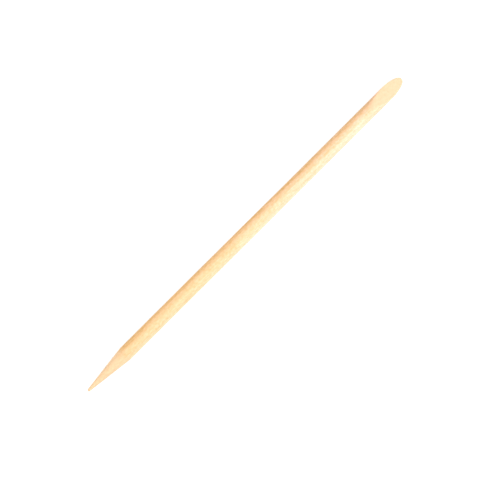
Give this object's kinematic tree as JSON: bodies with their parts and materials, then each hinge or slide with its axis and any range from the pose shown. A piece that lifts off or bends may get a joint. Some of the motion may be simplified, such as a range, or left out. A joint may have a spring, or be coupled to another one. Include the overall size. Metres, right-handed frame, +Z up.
{
  "type": "cuticle stick",
  "caption": "Slim round wooden manicure stick with a blunt conical point at one end and a flat slanting bevel at the other.",
  "frame": {"origin": "on the surface that the stick lies on, under the middle of its length and width", "axes": "+X along the stick from the conical point to the bevel, +Z up, with the bevel facing up"},
  "size_m": [0.114, 0.004, 0.004],
  "materials": {
    "wood": "fine sanded, unvarnished pale wood"
  },
  "bodies": {
    "root": {"wood_stick": "wood"}
  },
  "joints": []
}
